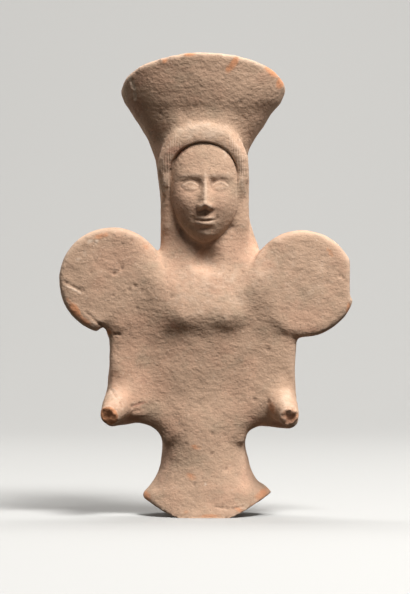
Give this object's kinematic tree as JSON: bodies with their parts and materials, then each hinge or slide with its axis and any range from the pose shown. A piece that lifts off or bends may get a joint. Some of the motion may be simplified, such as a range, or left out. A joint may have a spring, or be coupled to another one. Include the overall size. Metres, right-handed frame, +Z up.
{
  "type": "goddess figurine",
  "caption": "Standing goddess of fired clay with a flaring headdress, round shoulder discs, broken forearm stubs and a bell-shaped foot, resting on a flat underside.",
  "frame": {"origin": "middle of the flat underside that the figurine stands on", "axes": "+Z up, -Y the way the goddess faces, +X to the right of someone facing the figurine"},
  "size_m": [0.1141, 0.0447, 0.18],
  "materials": {
    "terracotta": "unglazed fired clay, buff and pinkish, matt and finely gritty, worn, with orange clay bare at the chips and dust in the hollows"
  },
  "bodies": {
    "root": {"goddess_figurine": "terracotta"}
  },
  "joints": []
}
